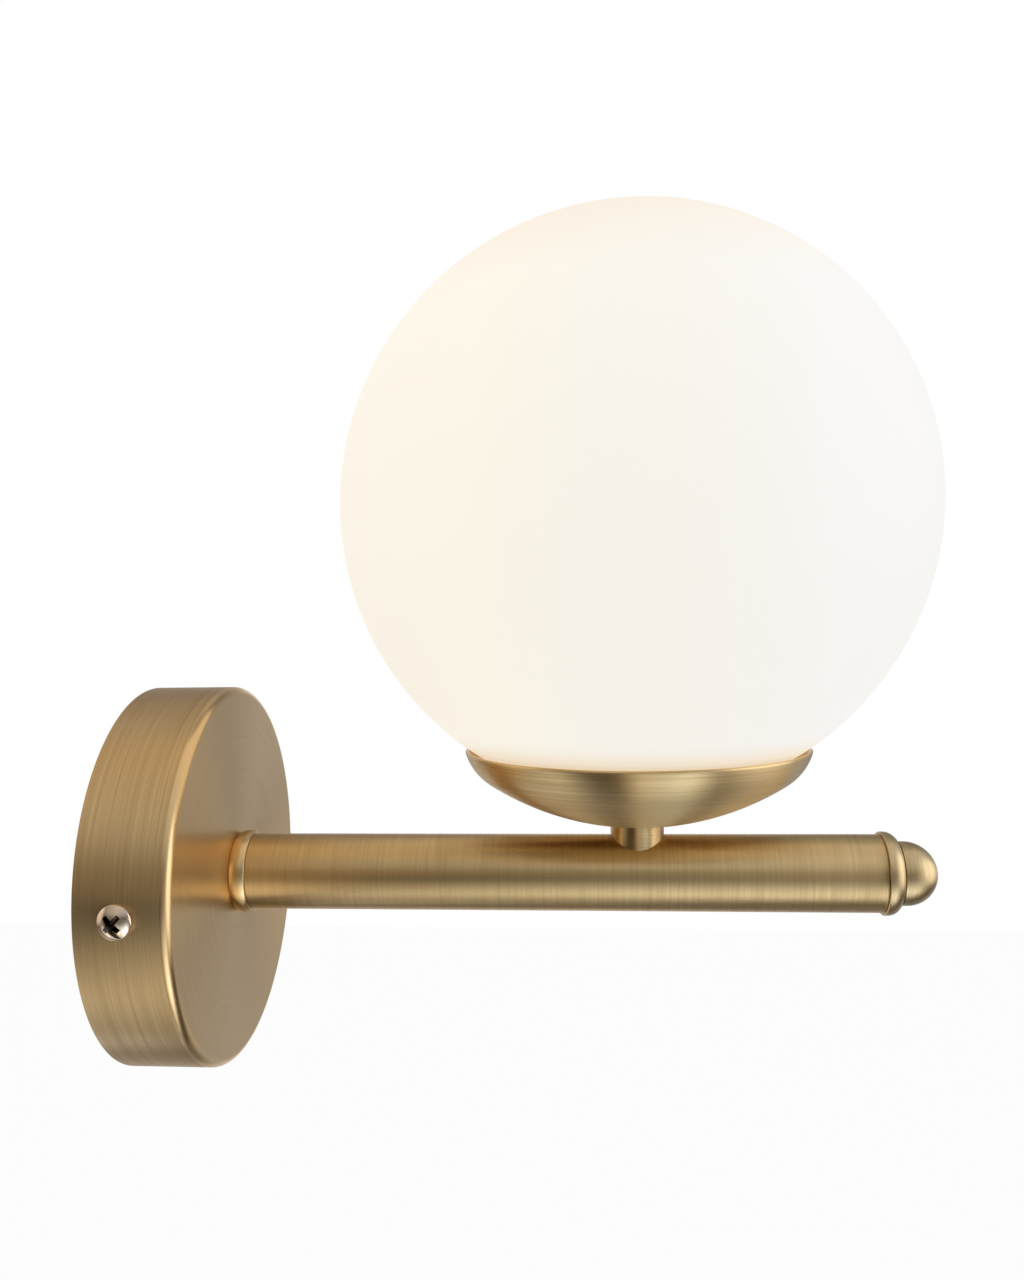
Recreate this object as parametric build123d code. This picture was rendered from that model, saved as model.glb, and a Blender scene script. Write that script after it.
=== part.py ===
from build123d import *
from math import hypot
import os

# Wall lamp: a round wall plate, a straight tube arm, and an opal globe standing in a spun cup on the arm.
# The origin is the centre of the wall plate on the wall plane. The arm runs along -Y, +Z is up.
# Sizes are millimetres. A value ending in _Y is a distance out from the wall, one ending in _Z is a height
# over the arm's axis.

# Fits
THREAD_FIT = 0.05          # radial play of a threaded joint drawn plain
HOLE_FIT = 0.1             # radial play of a clearance hole
GLASS_FIT = 0.3            # radial play between moulded glass and what it turns on

# Wall plate
PLATE_R = 50.0
PLATE_DEPTH = 23.0
PLATE_WALL = 1.2
PLATE_EDGE_R = 2.0
SIDE_SCREW_Y = 10.5
SIDE_SCREW_R = 2.0
SIDE_SCREW_LENGTH = 8.0
SIDE_HEAD_R = 4.2
SIDE_HEAD_HEIGHT = 2.6

# Wall bracket
BRACKET_T = 2.0
EAR_GAP = 1.4
BRACKET_WIDTH = 20.0
EAR_WIDTH = 13.0
EAR_DEPTH = 16.0
EAR_LENGTH = 9.4
BEND_R = 2.5
SLOT_SPACING = 60.0
SLOT_WIDTH = 5.0
SLOT_LENGTH = 12.0
CABLE_HOLE_R = 7.0
LOWER_TAB_WIDTH = 26.0
LOWER_TAB_END = 34.0
UPPER_TAB_WIDTH = 14.0
UPPER_TAB_END = 23.0

# Terminal block and earth
BLOCK_WIDTH = 26.0
BLOCK_HEIGHT = 14.0
BLOCK_DEPTH = 11.0
BLOCK_EDGE_R = 1.0
BLOCK_TOP_Z = -18.0
POLE_PITCH = 8.0
POLE_R = 1.4
POLE_DEPTH = 5.0
CLAMP_R = 1.6
CLAMP_WELL_R = 2.0
CLAMP_WELL_DEPTH = 3.0
CLAMP_HEIGHT = 2.0
CLAMP_OFFSET = 3.5
BLOCK_SCREW_R = 1.5
BLOCK_SCREW_HEAD_R = 2.6
BLOCK_SCREW_HEAD_HEIGHT = 1.8
BLOCK_SCREW_SINK = 3.0
EARTH_Z = 17.0
EARTH_SCREW_R = 2.0
EARTH_HEAD_R = 4.0
EARTH_HEAD_HEIGHT = 2.4
TAG_T = 0.8
TAG_R = 4.2
TAG_BARREL_R = 1.7
TAG_BARREL_LENGTH = 4.5
SCREW_END_GAP = 0.2

# Arm
NIPPLE_R = 5.0
NIPPLE_BORE_R = 3.5
PLATE_NIPPLE_START_Y = 13.5
PLATE_NIPPLE_END_Y = 37.0
WASHER_R = 9.0
WASHER_T = 1.0
NUT_ACROSS = 14.0
NUT_T = 3.0
COLLAR_R = 10.9
COLLAR_WIDTH = 4.2
COLLAR_FOOT_R = 10.5
COLLAR_FACE_R = 10.75
ARM_R = 10.0
ARM_WALL = 1.0
ARM_END_Y = 193.0
PLUG_LENGTH = 12.0
END_RING_R = 10.7
END_RING_WIDTH = 4.3
END_RING_LIP = 0.9
END_RING_NOSE_R = 8.3
FINIAL_R = 8.2
FINIAL_GROOVE_R = 7.5
FINIAL_GROOVE = 0.3
FINIAL_STRAIGHT = 1.4
STUD_R = 3.0
STUD_LENGTH = 13.0

# Head: everything that stands on the arm shares one upright axis
HEAD_Y = 130.5
BUSH_R = 8.0
BUSH_FOOT_Z = 2.5
HEAD_NIPPLE_FOOT_Z = 1.5
SPACER_R = 7.0
CUP_FLOOR_Z = 12.6
CUP_FLOOR_R = 8.0
CUP_RIM_Z = 33.0
CUP_RIM_GAP = 0.5
CUP_BASE_R = 72.0
CUP_WALL = 1.0
CARRIER_FLANGE_R = 23.0
CARRIER_FLANGE_Z = 17.7
CARRIER_T = 1.0
CARRIER_WALL_R = 19.2
CARRIER_TOP_Z = 26.5
SLIP_WASHER_T = 1.2
HEAD_NUT_ACROSS = 13.0
NIPPLE_PROUD = 1.5

# Lampholder and lamp
STRAP_T = 1.0
STRAP_WIDTH = 8.0
STRAP_FOOT_WIDTH = 12.0
HOLDER_WIDTH = 16.0
HOLDER_CORNER_R = 4.0
HOLDER_FOOT_Z = 32.0
HOLDER_HEIGHT = 20.0
HOLDER_SCREW_Z = 42.0
HOLDER_SCREW_R = 1.5
HOLDER_SCREW_LENGTH = 4.0
HOLDER_HEAD_R = 2.7
HOLDER_HEAD_HEIGHT = 1.8
PIN_PITCH = 9.0
CHAMBER_X = 3.8
CHAMBER_Y = 4.0
CHAMBER_DEPTH = 16.0
CONTACT_T = 0.4
CONTACT_WIDTH = 2.6
CONTACT_GAP = 0.3
CONTACT_FOOT_GAP = 1.0
CONTACT_TOP_GAP = 2.0
LEAD_HOLE_R = 1.3
PIN_WIRE_R = 0.5
PIN_LOOP = 1.8
PIN_LENGTH = 13.0
LAMP_BASE_X = 7.0
LAMP_BASE_Y = 14.0
LAMP_BASE_HEIGHT = 12.0
LAMP_BASE_EDGE_R = 2.0
LAMP_R = 7.5
LAMP_HEIGHT = 30.0

# Globe
GLOBE_R = 76.0
GLASS_T = 3.0
NECK_WALL = 3.0
NECK_LENGTH = 3.3

# Leads: each turns on the same bend radius
LEAD_R = 0.9
LEAD_BEND = 2.4
LEAD_SPREAD = 1.6
LIVE_ARM_Z = -3.0
NEUTRAL_ARM_Z = -5.8
LEAD_RISE_START_Y = 60.0
LEAD_RISE_END_Y = 47.0
LEAD_IN = 2.0
LEAD_DROP = 2.5
LEAD_CLEAR = 1.5
LIVE_TURN_Y = 9.5
NEUTRAL_TURN_Y = 11.0
LEAD_FALL_Z = -9.0
POLE_END_GAP = 1.0
EARTH_LOW_Z = -14.0
EARTH_NEAR_Z = -8.5

# Worked out from the sizes above
BRACKET_HALF = PLATE_R - PLATE_WALL - EAR_GAP
EAR_FROM_X = BRACKET_HALF - EAR_LENGTH
COLLAR_END_Y = PLATE_DEPTH + COLLAR_WIDTH
ARM_BORE_R = ARM_R - ARM_WALL
END_RING_END_Y = ARM_END_Y + END_RING_WIDTH
CUP_INNER_FLOOR_Z = CUP_FLOOR_Z + CUP_WALL
CARRIER_FLOOR_Z = CARRIER_FLANGE_Z + CARRIER_T
NECK_FOOT_Z = CARRIER_FLOOR_Z + SLIP_WASHER_T
NECK_BORE_R = CARRIER_WALL_R + GLASS_FIT
NECK_R = NECK_BORE_R + NECK_WALL
GLOBE_Z = NECK_FOOT_Z + NECK_LENGTH + (GLOBE_R ** 2 - NECK_R ** 2) ** 0.5
CUP_RIM_R = ((GLOBE_R + CUP_RIM_GAP) ** 2 - (GLOBE_Z - CUP_RIM_Z) ** 2) ** 0.5 + CUP_WALL
STRAP_FLOOR_Z = CARRIER_FLOOR_Z + STRAP_T
HEAD_NIPPLE_TOP_Z = STRAP_FLOOR_Z + NUT_T + NIPPLE_PROUD
HOLDER_TOP_Z = HOLDER_FOOT_Z + HOLDER_HEIGHT
BLOCK_MID_Z = BLOCK_TOP_Z - BLOCK_HEIGHT / 2
BLOCK_FRONT_Y = BRACKET_T + BLOCK_DEPTH
POLE_Y = BRACKET_T + BLOCK_DEPTH / 2
POLE_X = (-POLE_PITCH, 0.0, POLE_PITCH)
HEAD = Pos(0, -HEAD_Y, 0)
OUT = Rot(90, 0, 0)        # turns a piece drawn upright so that its top points out from the wall


def turned(outline):
    """A piece turned about the upright axis from edges drawn as (radius, 0, height)."""
    return revolve(make_face(outline), Axis.Z)


def profile(*points):
    """A closed outline of straight edges from (radius, height) pairs."""
    return Polyline(*[(r, 0, z) for r, z in points], close=True)


def ring(outer_r, bore_r, low, high):
    """A plain ring about the upright axis between two heights."""
    return turned(profile((bore_r, low), (outer_r, low), (outer_r, high), (bore_r, high)))


def rod(radius, low, high):
    """A plain upright rod between two heights."""
    return Pos(0, 0, (low + high) / 2) * Cylinder(radius, high - low)


def block(x_size, y_size, low, high):
    """An upright block about the axis between two heights."""
    return Pos(0, 0, (low + high) / 2) * Box(x_size, y_size, high - low)


def hex_nut(across, bore_r, low, high):
    """A hexagon nut about the upright axis between two heights."""
    outline = RegularPolygon(across / 2, 6, major_radius=False)
    return Pos(0, 0, low) * extrude(outline, high - low) - rod(bore_r, low, high)


def pan_screw(shank_r, length, head_r, head_height):
    """A pan-head screw with its seat at height 0: the head stands above it and the shank hangs below."""
    head = rod(head_r, 0, head_height)
    head = fillet(head.edges().group_by(Axis.Z)[-1], head_height * 0.8)
    return head + rod(shank_r, -length, 0)


def lead(*points):
    """A round insulated wire along straight runs joined by bends."""
    route = FilletPolyline(*points, radius=LEAD_BEND)
    section = Plane(origin=route @ 0, z_dir=route % 0) * Circle(LEAD_R)
    return sweep(section, path=route)


def wall_plate():
    """Spun canopy: a shallow round cup, open to the wall, with a hole for the arm and two side holes."""
    shell = rod(PLATE_R, 0, PLATE_DEPTH)
    shell = fillet(shell.edges().group_by(Axis.Z)[-1], PLATE_EDGE_R)
    inside = rod(PLATE_R - PLATE_WALL, 0, PLATE_DEPTH - PLATE_WALL)
    inside = fillet(inside.edges().group_by(Axis.Z)[-1], PLATE_EDGE_R - PLATE_WALL)
    shell = shell - inside - rod(NIPPLE_R + HOLE_FIT, 0, PLATE_DEPTH)
    side_holes = Rot(0, 90, 0) * Cylinder(SIDE_SCREW_R + HOLE_FIT, 3 * PLATE_R)
    return OUT * shell - Pos(0, -SIDE_SCREW_Y, 0) * side_holes


def wall_bracket():
    """Pressed strap: wall screw slots, a cable hole, two tabs, and an ear at each end for a side screw."""
    web = Pos(0, -BRACKET_T / 2, 0) * Box(2 * BRACKET_HALF, BRACKET_T, BRACKET_WIDTH)
    narrow = Box(2 * BRACKET_HALF, 4 * EAR_DEPTH, EAR_WIDTH)
    narrow += Box(2 * EAR_FROM_X, 4 * EAR_DEPTH, BRACKET_WIDTH)
    ear_x = BRACKET_HALF - BRACKET_T / 2
    ears = [Pos(s * ear_x, -EAR_DEPTH / 2, 0) * Box(BRACKET_T, EAR_DEPTH, EAR_WIDTH) for s in (-1, 1)]
    strap = (web & narrow) + ears
    strap = fillet(bend_edges(strap, 0, ear_x), BEND_R)
    strap = fillet(bend_edges(strap, -BRACKET_T, EAR_FROM_X + BRACKET_T), BEND_R - BRACKET_T)
    for width, end in ((LOWER_TAB_WIDTH, -LOWER_TAB_END), (UPPER_TAB_WIDTH, UPPER_TAB_END)):
        strap += Pos(0, -BRACKET_T / 2, end / 2) * Box(width, BRACKET_T, abs(end))
    slot = extrude(SlotOverall(SLOT_LENGTH, SLOT_WIDTH), 2 * BRACKET_T, both=True)
    for side in (-1, 1):
        strap -= Pos(side * SLOT_SPACING / 2, 0, 0) * OUT * slot
    strap -= OUT * rod(CABLE_HOLE_R, 0, BRACKET_T)
    strap -= Pos(0, -SIDE_SCREW_Y, 0) * Rot(0, 90, 0) * Cylinder(SIDE_SCREW_R + THREAD_FIT, 3 * BRACKET_HALF)
    strap -= Pos(0, 0, EARTH_Z) * OUT * rod(EARTH_SCREW_R + THREAD_FIT, 0, BRACKET_T)
    strap -= Pos(POLE_PITCH / 2, 0, BLOCK_MID_Z) * OUT * rod(BLOCK_SCREW_R + THREAD_FIT, 0, BRACKET_T)
    return strap


def bend_edges(strap, y, past_x):
    """The upright edges of a strap that lie at depth y and further out than past_x."""
    upright = strap.edges().filter_by(Axis.Z)
    level = upright.filter_by(lambda edge: abs(edge.center().Y - y) < 0.01)
    return level.filter_by(lambda edge: abs(edge.center().X) > past_x)


def side_screws():
    """Two pan-head screws through the plate's side into the bracket's ears."""
    screw = pan_screw(SIDE_SCREW_R, SIDE_SCREW_LENGTH, SIDE_HEAD_R, SIDE_HEAD_HEIGHT)
    right = Pos(PLATE_R, -SIDE_SCREW_Y, 0) * Rot(0, 90, 0) * screw
    left = Pos(-PLATE_R, -SIDE_SCREW_Y, 0) * Rot(0, -90, 0) * screw
    return Compound([left, right])


def terminal_block():
    """Three-pole block on the lower tab, with lead holes above and clamp wells in front."""
    body = Pos(0, -POLE_Y, BLOCK_MID_Z) * Box(BLOCK_WIDTH, BLOCK_DEPTH, BLOCK_HEIGHT)
    body = fillet(body.edges().filter_by(Axis.Y), BLOCK_EDGE_R)
    front = Pos(0, -BLOCK_FRONT_Y, 0) * OUT
    for x in POLE_X:
        body -= Pos(x, -POLE_Y, 0) * rod(POLE_R, BLOCK_TOP_Z - POLE_DEPTH, BLOCK_TOP_Z)
        for z in (-CLAMP_OFFSET, CLAMP_OFFSET):
            body -= Pos(x, 0, BLOCK_MID_Z + z) * front * rod(CLAMP_WELL_R, -CLAMP_WELL_DEPTH, 0)
    fixing = Pos(POLE_PITCH / 2, 0, BLOCK_MID_Z) * front
    body -= fixing * rod(BLOCK_SCREW_R + HOLE_FIT, -BLOCK_DEPTH, 0)
    body -= fixing * rod(BLOCK_SCREW_HEAD_R + HOLE_FIT, -BLOCK_SCREW_SINK, 0)
    return body


def terminal_screws():
    """Six clamp screws sunk in the block's wells."""
    screws = []
    for x in POLE_X:
        for z in (-CLAMP_OFFSET, CLAMP_OFFSET):
            place = Pos(x, -BLOCK_FRONT_Y + CLAMP_WELL_DEPTH, BLOCK_MID_Z + z) * OUT
            screws.append(place * rod(CLAMP_R, 0, CLAMP_HEIGHT))
    return Compound(screws)


def block_screw():
    """The screw that holds the terminal block to the tab."""
    seat_y = BLOCK_FRONT_Y - BLOCK_SCREW_SINK
    length = seat_y - SCREW_END_GAP
    screw = pan_screw(BLOCK_SCREW_R, length, BLOCK_SCREW_HEAD_R, BLOCK_SCREW_HEAD_HEIGHT)
    return Pos(POLE_PITCH / 2, -seat_y, BLOCK_MID_Z) * OUT * screw


def earth_tag():
    """Crimped ring tag on the upper tab, its barrel pointing down to the lead."""
    eye = rod(TAG_R, 0, TAG_T)
    neck_length = EARTH_Z - tag_barrel_foot() - TAG_BARREL_LENGTH
    neck = Pos(0, -neck_length / 2, TAG_T / 2) * Box(2 * TAG_BARREL_R, neck_length, TAG_T)
    plate = Pos(0, -BRACKET_T, EARTH_Z) * OUT * (eye + neck - rod(EARTH_SCREW_R + HOLE_FIT, 0, TAG_T))
    barrel = rod(TAG_BARREL_R, tag_barrel_foot(), tag_barrel_foot() + TAG_BARREL_LENGTH)
    return plate + Pos(0, -BRACKET_T - TAG_BARREL_R, 0) * barrel


def tag_barrel_foot():
    """Height of the tag barrel's lower end."""
    return EARTH_Z - TAG_R - TAG_BARREL_LENGTH


def earth_screw():
    """The screw that clamps the earth tag."""
    seat_y = BRACKET_T + TAG_T
    screw = pan_screw(EARTH_SCREW_R, seat_y - SCREW_END_GAP, EARTH_HEAD_R, EARTH_HEAD_HEIGHT)
    return Pos(0, -seat_y, EARTH_Z) * OUT * screw


def live_lead():
    """Live wire from the lampholder down the head nipple, along the arm and into the terminal block."""
    return lead(*lead_route(1, LIVE_ARM_Z, -POLE_PITCH, LIVE_TURN_Y))


def neutral_lead():
    """Neutral wire beside the live one."""
    return lead(*lead_route(-1, NEUTRAL_ARM_Z, POLE_PITCH, NEUTRAL_TURN_Y))


def lead_route(side, arm_z, pole_x, turn_y):
    """Corner points of a lead: side is its place in the bores, turn_y where it leaves the plate nipple."""
    spread = side * LEAD_SPREAD
    drop_y = -HEAD_Y + spread
    return [
        (0, -HEAD_Y + side * PIN_PITCH / 2, HOLDER_FOOT_Z + LEAD_IN),
        (0, -HEAD_Y + side * PIN_PITCH / 2, HOLDER_FOOT_Z - LEAD_DROP),
        (0, drop_y, HEAD_NIPPLE_TOP_Z + LEAD_CLEAR),
        (0, drop_y, arm_z),
        (0, -LEAD_RISE_START_Y, arm_z),
        (0, -LEAD_RISE_END_Y, spread),
        (0, -turn_y, spread),
        (pole_x, -POLE_Y, LEAD_FALL_Z + spread),
        (pole_x, -POLE_Y, BLOCK_TOP_Z - POLE_DEPTH + POLE_END_GAP),
    ]


def earth_lead():
    """Earth wire from the middle pole up to the ring tag, close to the bracket."""
    tag_y = -BRACKET_T - TAG_BARREL_R
    return lead((0, -POLE_Y, BLOCK_TOP_Z - POLE_DEPTH + POLE_END_GAP), (0, -POLE_Y, EARTH_LOW_Z),
                (0, tag_y, EARTH_NEAR_Z), (0, tag_y, tag_barrel_foot()))


def plate_nipple():
    """Hollow threaded rod that clamps the arm to the wall plate."""
    return OUT * ring(NIPPLE_R, NIPPLE_BORE_R, PLATE_NIPPLE_START_Y, PLATE_NIPPLE_END_Y)


def plate_washer():
    """Lock washer inside the plate."""
    seat_y = PLATE_DEPTH - PLATE_WALL
    return OUT * ring(WASHER_R, NIPPLE_R + HOLE_FIT, seat_y - WASHER_T, seat_y)


def plate_nut():
    """Hexagon nut inside the plate."""
    seat_y = PLATE_DEPTH - PLATE_WALL - WASHER_T
    return OUT * hex_nut(NUT_ACROSS, NIPPLE_R + THREAD_FIT, seat_y - NUT_T, seat_y)


def collar_ring():
    """Turned bead between plate and arm: flat on both ends, crowned outside, a little slimmer at the plate."""
    bore = NIPPLE_R + HOLE_FIT
    foot = (COLLAR_FOOT_R, 0, PLATE_DEPTH)
    face = (COLLAR_FACE_R, 0, COLLAR_END_Y)
    crown = (COLLAR_R, 0, (PLATE_DEPTH + COLLAR_END_Y) / 2)
    straight = Polyline(foot, (bore, 0, PLATE_DEPTH), (bore, 0, COLLAR_END_Y), face)
    return OUT * turned(straight + ThreePointArc(face, crown, foot))


def arm_tube():
    """Drawn tube with a hole in its top for the head nipple."""
    tube = OUT * ring(ARM_R, ARM_BORE_R, COLLAR_END_Y, ARM_END_Y)
    return tube - HEAD * rod(NIPPLE_R + HOLE_FIT, 0, 2 * ARM_R)


def arm_plug():
    """Threaded plug brazed into the arm's wall end."""
    end_y = COLLAR_END_Y + PLUG_LENGTH
    return OUT * ring(ARM_BORE_R - THREAD_FIT, NIPPLE_R + THREAD_FIT, COLLAR_END_Y, end_y)


def end_plug():
    """Threaded plug brazed into the arm's free end."""
    return OUT * ring(ARM_BORE_R - THREAD_FIT, STUD_R + THREAD_FIT, ARM_END_Y - PLUG_LENGTH, ARM_END_Y)


def end_ring():
    """Turned ring on the arm's free end: flat towards the tube, rounded off towards the finial."""
    bore = STUD_R + HOLE_FIT
    lip_y = ARM_END_Y + END_RING_LIP
    nose = (END_RING_NOSE_R, 0, END_RING_END_Y)
    straight = Polyline(nose, (bore, 0, END_RING_END_Y), (bore, 0, ARM_END_Y), (END_RING_R, 0, ARM_END_Y),
                        (END_RING_R, 0, lip_y))
    round_off = TangentArc((END_RING_R, 0, lip_y), nose, tangent=(0, 0, 1))
    return OUT * turned(straight + round_off)


def finial():
    """Turned dome with a small groove behind it and a stud that screws into the end plug."""
    groove_y = END_RING_END_Y + FINIAL_GROOVE
    dome_y = groove_y + FINIAL_STRAIGHT
    diagonal = FINIAL_R * 0.5 ** 0.5
    tip = (0, 0, dome_y + FINIAL_R)
    stud_y = END_RING_END_Y - STUD_LENGTH
    straight = Polyline(tip, (0, 0, stud_y), (STUD_R, 0, stud_y), (STUD_R, 0, END_RING_END_Y),
                        (FINIAL_GROOVE_R, 0, END_RING_END_Y), (FINIAL_GROOVE_R, 0, groove_y),
                        (FINIAL_R, 0, groove_y), (FINIAL_R, 0, dome_y))
    dome = ThreePointArc((FINIAL_R, 0, dome_y), (diagonal, 0, dome_y + diagonal), tip)
    return OUT * turned(straight + dome)


def head_bush():
    """Threaded saddle nut inside the arm, its top shaped to the bore."""
    bush = HEAD * ring(BUSH_R, NIPPLE_R + THREAD_FIT, BUSH_FOOT_Z, ARM_R)
    return bush & OUT * rod(ARM_BORE_R - THREAD_FIT, 0, 2 * HEAD_Y)


def head_nipple():
    """Hollow threaded rod that clamps the spacer, cup, carrier and lampholder to the arm."""
    return HEAD * ring(NIPPLE_R, NIPPLE_BORE_R, HEAD_NIPPLE_FOOT_Z, HEAD_NIPPLE_TOP_Z)


def saddle_spacer():
    """Short turned spacer, its foot coped to the arm."""
    stem = HEAD * ring(SPACER_R, NIPPLE_R + HOLE_FIT, 0, CUP_FLOOR_Z)
    return stem - OUT * rod(ARM_R, 0, 2 * HEAD_Y)


def cup():
    """Spun bowl: a flat seat, a wide base curve and a tighter curve up to an upright rim."""
    outer = bowl_curve(0.0)
    inner = bowl_curve(CUP_WALL)
    bore = NIPPLE_R + HOLE_FIT
    rim = ThreePointArc(outer[-1] @ 1, (CUP_RIM_R - CUP_WALL / 2, 0, CUP_RIM_Z + CUP_WALL / 2), inner[-1] @ 1)
    floor = Polyline(inner[0] @ 0, (bore, 0, CUP_INNER_FLOOR_Z), (bore, 0, CUP_FLOOR_Z), outer[0] @ 0)
    return HEAD * turned(Curve() + [*outer, *inner, rim, floor])


def bowl_curve(inset):
    """The bowl's outline, moved in by inset: base arc, then corner arc, from the seat to the rim."""
    pole_z = CUP_FLOOR_Z - (CUP_BASE_R - (CUP_BASE_R ** 2 - CUP_FLOOR_R ** 2) ** 0.5)
    depth = CUP_RIM_Z - pole_z
    corner_r = (2 * CUP_BASE_R * depth - CUP_RIM_R ** 2 - depth ** 2) / (2 * (CUP_BASE_R - CUP_RIM_R))
    base_z = pole_z + CUP_BASE_R
    corner_x = CUP_RIM_R - corner_r
    span = hypot(corner_x, CUP_RIM_Z - base_z)
    lean = Vector(corner_x / span, 0, (CUP_RIM_Z - base_z) / span)
    base_centre = Vector(0, 0, base_z)
    corner_centre = Vector(corner_x, 0, CUP_RIM_Z)
    base_r = CUP_BASE_R - inset
    seat_z = CUP_FLOOR_Z + inset
    seat = Vector((base_r ** 2 - (base_z - seat_z) ** 2) ** 0.5, 0, seat_z)
    join = base_centre + lean * base_r
    rim = Vector(CUP_RIM_R - inset, 0, CUP_RIM_Z)
    base_mid = base_centre + ((seat - base_centre) + (join - base_centre)).normalized() * base_r
    corner_mid = corner_centre + (lean + Vector(1, 0, 0)).normalized() * (corner_r - inset)
    return [ThreePointArc(seat, base_mid, join), ThreePointArc(join, corner_mid, rim)]


def carrier():
    """Turned holder for the globe: a boss on the cup's floor, a flange, and a wall with a plain thread."""
    bore = NIPPLE_R + HOLE_FIT
    inner_r = CARRIER_WALL_R - CARRIER_T
    return HEAD * turned(profile(
        (bore, CUP_INNER_FLOOR_Z), (SPACER_R, CUP_INNER_FLOOR_Z), (SPACER_R, CARRIER_FLANGE_Z),
        (CARRIER_FLANGE_R, CARRIER_FLANGE_Z), (CARRIER_FLANGE_R, CARRIER_FLOOR_Z),
        (CARRIER_WALL_R, CARRIER_FLOOR_Z), (CARRIER_WALL_R, CARRIER_TOP_Z), (inner_r, CARRIER_TOP_Z),
        (inner_r, CARRIER_FLOOR_Z), (bore, CARRIER_FLOOR_Z)))


def slip_washer():
    """Loose silicone washer under the globe's neck."""
    return HEAD * ring(NECK_R, NECK_BORE_R, CARRIER_FLOOR_Z, NECK_FOOT_Z)


def holder_strap():
    """U-shaped strap under the head nut that carries the lampholder between its arms."""
    outer = HOLDER_WIDTH + 2 * STRAP_T
    top_z = HOLDER_SCREW_Z + STRAP_WIDTH / 2
    arms = block(outer, STRAP_WIDTH, CARRIER_FLOOR_Z, top_z)
    arms -= block(HOLDER_WIDTH, STRAP_WIDTH, STRAP_FLOOR_Z, top_z)
    strap = arms + block(outer, STRAP_FOOT_WIDTH, CARRIER_FLOOR_Z, STRAP_FLOOR_Z)
    strap -= rod(NIPPLE_R + HOLE_FIT, CARRIER_FLOOR_Z, STRAP_FLOOR_Z)
    strap -= Pos(0, 0, HOLDER_SCREW_Z) * Rot(0, 90, 0) * Cylinder(HOLDER_SCREW_R + HOLE_FIT, 2 * outer)
    return HEAD * strap


def head_nut():
    """Hexagon nut that clamps the head's stack."""
    return HEAD * hex_nut(HEAD_NUT_ACROSS, NIPPLE_R + THREAD_FIT, STRAP_FLOOR_Z, STRAP_FLOOR_Z + NUT_T)


def lampholder():
    """Ceramic lampholder with a chamber for each pin, lead holes below and screw holes in its sides."""
    body = block(HOLDER_WIDTH, HOLDER_WIDTH, HOLDER_FOOT_Z, HOLDER_TOP_Z)
    body = fillet(body.edges().filter_by(Axis.Z), HOLDER_CORNER_R)
    screw_hole = Rot(0, 90, 0) * Cylinder(HOLDER_SCREW_R + THREAD_FIT, HOLDER_SCREW_LENGTH)
    for side in (-1, 1):
        place = Pos(0, side * PIN_PITCH / 2, 0)
        body -= place * block(CHAMBER_X, CHAMBER_Y, HOLDER_TOP_Z - CHAMBER_DEPTH, HOLDER_TOP_Z)
        body -= place * rod(LEAD_HOLE_R, HOLDER_FOOT_Z, HOLDER_TOP_Z - CHAMBER_DEPTH)
        hole_x = side * (HOLDER_WIDTH - HOLDER_SCREW_LENGTH) / 2
        body -= Pos(hole_x, 0, HOLDER_SCREW_Z) * screw_hole
    return HEAD * body


def holder_screws():
    """Two screws through the strap into the lampholder."""
    screw = pan_screw(HOLDER_SCREW_R, HOLDER_SCREW_LENGTH, HOLDER_HEAD_R, HOLDER_HEAD_HEIGHT)
    seat_x = HOLDER_WIDTH / 2 + STRAP_T
    right = HEAD * Pos(seat_x, 0, HOLDER_SCREW_Z) * Rot(0, 90, 0) * screw
    left = HEAD * Pos(-seat_x, 0, HOLDER_SCREW_Z) * Rot(0, -90, 0) * screw
    return Compound([left, right])


def contacts():
    """Two spring contacts, one on the outer side of each pin."""
    clips = []
    contact_y = PIN_PITCH / 2 + PIN_WIRE_R + CONTACT_GAP + CONTACT_T / 2
    low = HOLDER_TOP_Z - CHAMBER_DEPTH + CONTACT_FOOT_GAP
    clip = block(CONTACT_WIDTH, CONTACT_T, low, HOLDER_TOP_Z - CONTACT_TOP_GAP)
    for side in (-1, 1):
        clips.append(HEAD * Pos(0, side * contact_y, 0) * clip)
    return Compound(clips)


def glass():
    """The whole blown glass: a closed ball with a short open neck below."""
    joint_z = GLOBE_Z - (GLOBE_R ** 2 - NECK_R ** 2) ** 0.5
    inside_z = joint_z + GLASS_T
    shell = Pos(0, 0, GLOBE_Z) * (Sphere(GLOBE_R) - Sphere(GLOBE_R - GLASS_T)) - rod(NECK_R, 0, inside_z)
    shell += ring(NECK_R, NECK_BORE_R, NECK_FOOT_Z, inside_z)
    return HEAD * (shell - rod(NECK_BORE_R, 0, GLOBE_Z - GLOBE_R / 2))


def globe():
    """Lower half of the glass, with the neck that screws onto the carrier."""
    return split(glass(), bisect_by=Plane.XY.offset(GLOBE_Z), keep=Keep.BOTTOM)


def globe_crown():
    """Upper half of the same glass, which meets the lower half without a seam."""
    return split(glass(), bisect_by=Plane.XY.offset(GLOBE_Z), keep=Keep.TOP)


def lamp_bulb():
    """Frosted capsule of the lamp."""
    foot = HOLDER_TOP_Z + LAMP_BASE_HEIGHT
    capsule = rod(LAMP_R, foot, foot + LAMP_HEIGHT)
    return HEAD * fillet(capsule.edges().group_by(Axis.Z)[-1], LAMP_R * 0.95)


def lamp_base():
    """Flattened base of the lamp, standing on the lampholder."""
    base = block(LAMP_BASE_X, LAMP_BASE_Y, HOLDER_TOP_Z, HOLDER_TOP_Z + LAMP_BASE_HEIGHT)
    return HEAD * fillet(base.edges().filter_by(Axis.Z), LAMP_BASE_EDGE_R)


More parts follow.
